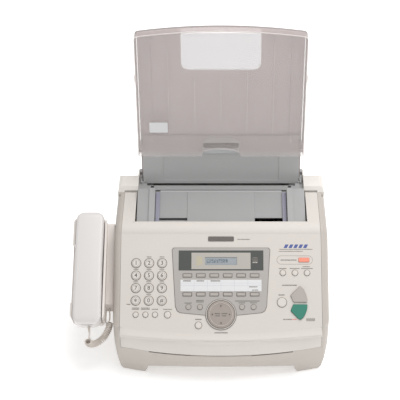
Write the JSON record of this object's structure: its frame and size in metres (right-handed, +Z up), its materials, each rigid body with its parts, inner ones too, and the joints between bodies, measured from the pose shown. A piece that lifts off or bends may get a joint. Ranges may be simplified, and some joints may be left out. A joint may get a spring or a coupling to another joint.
{
  "type": "fax machine",
  "caption": "Desktop laser fax machine with a sloped control panel, a document feeder, an upright rear paper tray under a smoked cover and a side handset on a curled cord.",
  "frame": {"origin": "centre of the footprint on the table, under the middle of the body and its handset together", "axes": "+Z up, the control panel faces -Y, the handset is on the -X side"},
  "size_m": [0.423, 0.32, 0.4942],
  "materials": {
    "white_casing": "satin",
    "grey_plastic": "satin",
    "cradle_plastic": "satin",
    "smoked_plastic": "gloss",
    "clear_plastic": "gloss",
    "black_plastic": "matt",
    "gear_plastic": "satin",
    "frame_steel": "satin",
    "screw_steel": "satin",
    "board": "satin",
    "drum_coating": "gloss",
    "roller_rubber": "matt",
    "cord_plastic": "satin",
    "bezel_plastic": "satin",
    "dark_window": "gloss",
    "lcd_plastic": "satin",
    "green_key": "satin",
    "grey_key": "satin",
    "white_key": "satin",
    "orange_key": "satin"
  },
  "bodies": {
    "base": {"lower_casing": "white_casing", "rear_housing": "white_casing", "rubber_feet": "roller_rubber", "side_frames": "frame_steel", "main_board": "board", "power_supply": "board", "laser_scanner": "black_plastic", "toner_cartridge": "black_plastic", "fuser_frame": "black_plastic", "main_motor": "frame_steel", "cooling_fan": "black_plastic", "speaker": "black_plastic", "rear_sockets": "black_plastic", "casing_screws": "screw_steel", "handset_cradle": "cradle_plastic", "handset_cord": "cord_plastic", "tray_base": "grey_plastic", "paper_tray": "clear_plastic"},
    "top_cover": {"top_cover": "white_casing", "document_table": "grey_plastic", "image_sensor": "black_plastic", "panel_board": "board", "display_bezel": "bezel_plastic", "display_window": "dark_window", "lcd_module": "lcd_plastic"},
    "opc_drum": {"opc_drum": "drum_coating"},
    "transfer_roller": {"transfer_roller": "roller_rubber"},
    "heat_roller": {"heat_roller": "roller_rubber"},
    "pressure_roller": {"pressure_roller": "roller_rubber"},
    "pickup_roller": {"pickup_roller": "roller_rubber"},
    "exit_rollers": {"exit_rollers": "roller_rubber"},
    "motor_pinion": {"motor_pinion": "gear_plastic"},
    "fan_rotor": {"fan_rotor": "black_plastic"},
    "hook_switch": {"hook_switch": "gear_plastic"},
    "handset": {"handset": "white_casing"},
    "tension_plate": {"tension_plate": "grey_plastic"},
    "tray_cover": {"tray_cover": "smoked_plastic"},
    "guide_left": {"guide_left": "grey_plastic"},
    "guide_right": {"guide_right": "grey_plastic"},
    "guide_pinion": {"guide_pinion": "gear_plastic"},
    "feed_roller": {"feed_roller": "roller_rubber"},
    "start_key": {"start_key": "green_key"},
    "copy_key": {"copy_key": "grey_key"},
    "stop_key": {"stop_key": "white_key"},
    "navigator_key": {"navigator_key": "grey_key"},
    "toner_save_key": {"toner_save_key": "orange_key"},
    "one_touch_keys": {"one_touch_keys": "grey_key"},
    "function_keys": {"function_keys": "white_key"},
    "dial_key_1": {"dial_key_1": "white_key"},
    "dial_key_2": {"dial_key_2": "white_key"},
    "dial_key_3": {"dial_key_3": "white_key"},
    "dial_key_4": {"dial_key_4": "white_key"},
    "dial_key_5": {"dial_key_5": "white_key"},
    "dial_key_6": {"dial_key_6": "white_key"},
    "dial_key_7": {"dial_key_7": "white_key"},
    "dial_key_8": {"dial_key_8": "white_key"},
    "dial_key_9": {"dial_key_9": "white_key"},
    "dial_key_star": {"dial_key_star": "white_key"},
    "dial_key_0": {"dial_key_0": "white_key"},
    "dial_key_hash": {"dial_key_hash": "white_key"}
  },
  "joints": [
    {"name": "top_cover_hinge", "type": "hinge", "parent": "base", "child": "top_cover", "pos_m": [0.0345, 0.0765, 0.206], "axis": [-1, 0, 0], "range_deg": [0, 50]},
    {"name": "tray_cover_hinge", "type": "hinge", "parent": "base", "child": "tray_cover", "pos_m": [0.0345, 0.11781, 0.27193], "axis": [1, 0, 0], "range_deg": [0, 35]},
    {"name": "tension_plate_hinge", "type": "hinge", "parent": "base", "child": "tension_plate", "pos_m": [0.0345, 0.1122, 0.2095], "axis": [1, 0, 0], "range_deg": [0, 2.5]},
    {"name": "guide_left_slide", "type": "slide", "parent": "top_cover", "child": "guide_left", "axis": [1, 0, 0], "range_m": [0, 0.048]},
    {"name": "guide_right_slide", "type": "slide", "parent": "top_cover", "child": "guide_right", "axis": [-1, 0, 0], "range_m": [0, 0.048]},
    {"name": "guide_pinion_spin", "type": "hinge", "parent": "top_cover", "child": "guide_pinion", "pos_m": [0.0345, 0.04234, 0.18691], "axis": [0, -0.342, 0.9397], "range_deg": [-10, 460]},
    {"name": "feed_roller_spin", "type": "hinge", "parent": "top_cover", "child": "feed_roller", "pos_m": [0.0345, 0.00945, 0.17493], "axis": [1, 0, 0], "continuous": true},
    {"name": "drum_spin", "type": "hinge", "parent": "base", "child": "opc_drum", "pos_m": [0.0345, -0.02, 0.088], "axis": [1, 0, 0], "continuous": true},
    {"name": "motor_pinion_spin", "type": "hinge", "parent": "base", "child": "motor_pinion", "pos_m": [0.0345, 0.0008, 0.0633], "axis": [1, 0, 0], "continuous": true},
    {"name": "transfer_roller_spin", "type": "hinge", "parent": "base", "child": "transfer_roller", "pos_m": [0.0345, -0.02, 0.0646], "axis": [1, 0, 0], "continuous": true},
    {"name": "heat_roller_spin", "type": "hinge", "parent": "base", "child": "heat_roller", "pos_m": [0.0345, -0.088, 0.08], "axis": [1, 0, 0], "continuous": true},
    {"name": "pressure_roller_spin", "type": "hinge", "parent": "base", "child": "pressure_roller", "pos_m": [0.0345, -0.088, 0.0576], "axis": [1, 0, 0], "continuous": true},
    {"name": "exit_rollers_spin", "type": "hinge", "parent": "base", "child": "exit_rollers", "pos_m": [0.0345, -0.124, 0.067], "axis": [1, 0, 0], "continuous": true},
    {"name": "pickup_roller_spin", "type": "hinge", "parent": "base", "child": "pickup_roller", "pos_m": [0.0345, 0.107, 0.168], "axis": [1, 0, 0], "continuous": true},
    {"name": "fan_spin", "type": "hinge", "parent": "base", "child": "fan_rotor", "pos_m": [0.1245, 0.15, 0.06], "axis": [0, 1, 0], "continuous": true},
    {"name": "handset_lift", "type": "slide", "parent": "base", "child": "handset", "axis": [0, -0.5225, 0.8526], "range_m": [0, 0.28]},
    {"name": "hook_switch_press", "type": "slide", "parent": "base", "child": "hook_switch", "axis": [0, 0.5225, -0.8526], "range_m": [0, 0.003], "stiffness_N_per_m": 60},
    {"name": "start_key_press", "type": "slide", "parent": "top_cover", "child": "start_key", "axis": [0, 0.6428, -0.766], "range_m": [0, 0.0012], "stiffness_N_per_m": 350},
    {"name": "copy_key_press", "type": "slide", "parent": "top_cover", "child": "copy_key", "axis": [0, 0.6428, -0.766], "range_m": [0, 0.0012], "stiffness_N_per_m": 350},
    {"name": "stop_key_press", "type": "slide", "parent": "top_cover", "child": "stop_key", "axis": [0, 0.6428, -0.766], "range_m": [0, 0.0012], "stiffness_N_per_m": 350},
    {"name": "navigator_key_press", "type": "slide", "parent": "top_cover", "child": "navigator_key", "axis": [0, 0.6428, -0.766], "range_m": [0, 0.0012], "stiffness_N_per_m": 350},
    {"name": "toner_save_key_press", "type": "slide", "parent": "top_cover", "child": "toner_save_key", "axis": [0, 0.6428, -0.766], "range_m": [0, 0.0012], "stiffness_N_per_m": 350},
    {"name": "one_touch_keys_press", "type": "slide", "parent": "top_cover", "child": "one_touch_keys", "axis": [0, 0.6428, -0.766], "range_m": [0, 0.0012], "stiffness_N_per_m": 350},
    {"name": "function_keys_press", "type": "slide", "parent": "top_cover", "child": "function_keys", "axis": [0, 0.6428, -0.766], "range_m": [0, 0.0012], "stiffness_N_per_m": 350},
    {"name": "dial_key_1_press", "type": "slide", "parent": "top_cover", "child": "dial_key_1", "axis": [0, 0.6428, -0.766], "range_m": [0, 0.0012], "stiffness_N_per_m": 350},
    {"name": "dial_key_2_press", "type": "slide", "parent": "top_cover", "child": "dial_key_2", "axis": [0, 0.6428, -0.766], "range_m": [0, 0.0012], "stiffness_N_per_m": 350},
    {"name": "dial_key_3_press", "type": "slide", "parent": "top_cover", "child": "dial_key_3", "axis": [0, 0.6428, -0.766], "range_m": [0, 0.0012], "stiffness_N_per_m": 350},
    {"name": "dial_key_4_press", "type": "slide", "parent": "top_cover", "child": "dial_key_4", "axis": [0, 0.6428, -0.766], "range_m": [0, 0.0012], "stiffness_N_per_m": 350},
    {"name": "dial_key_5_press", "type": "slide", "parent": "top_cover", "child": "dial_key_5", "axis": [0, 0.6428, -0.766], "range_m": [0, 0.0012], "stiffness_N_per_m": 350},
    {"name": "dial_key_6_press", "type": "slide", "parent": "top_cover", "child": "dial_key_6", "axis": [0, 0.6428, -0.766], "range_m": [0, 0.0012], "stiffness_N_per_m": 350},
    {"name": "dial_key_7_press", "type": "slide", "parent": "top_cover", "child": "dial_key_7", "axis": [0, 0.6428, -0.766], "range_m": [0, 0.0012], "stiffness_N_per_m": 350},
    {"name": "dial_key_8_press", "type": "slide", "parent": "top_cover", "child": "dial_key_8", "axis": [0, 0.6428, -0.766], "range_m": [0, 0.0012], "stiffness_N_per_m": 350},
    {"name": "dial_key_9_press", "type": "slide", "parent": "top_cover", "child": "dial_key_9", "axis": [0, 0.6428, -0.766], "range_m": [0, 0.0012], "stiffness_N_per_m": 350},
    {"name": "dial_key_star_press", "type": "slide", "parent": "top_cover", "child": "dial_key_star", "axis": [0, 0.6428, -0.766], "range_m": [0, 0.0012], "stiffness_N_per_m": 350},
    {"name": "dial_key_0_press", "type": "slide", "parent": "top_cover", "child": "dial_key_0", "axis": [0, 0.6428, -0.766], "range_m": [0, 0.0012], "stiffness_N_per_m": 350},
    {"name": "dial_key_hash_press", "type": "slide", "parent": "top_cover", "child": "dial_key_hash", "axis": [0, 0.6428, -0.766], "range_m": [0, 0.0012], "stiffness_N_per_m": 350}
  ],
  "couplings": [
    {"joint": "guide_right_slide", "follows": "guide_left_slide", "ratio": 1},
    {"joint": "guide_pinion_spin", "follows": "guide_left_slide", "rad_per_m": 166.67},
    {"joint": "motor_pinion_spin", "follows": "drum_spin", "ratio": -4.3333},
    {"joint": "transfer_roller_spin", "follows": "drum_spin", "ratio": -1.875},
    {"joint": "heat_roller_spin", "follows": "drum_spin", "ratio": 1.3636},
    {"joint": "pressure_roller_spin", "follows": "drum_spin", "ratio": -1.3636},
    {"joint": "exit_rollers_spin", "follows": "drum_spin", "ratio": 1.7647},
    {"joint": "pickup_roller_spin", "follows": "drum_spin", "ratio": 1.0714}
  ]
}
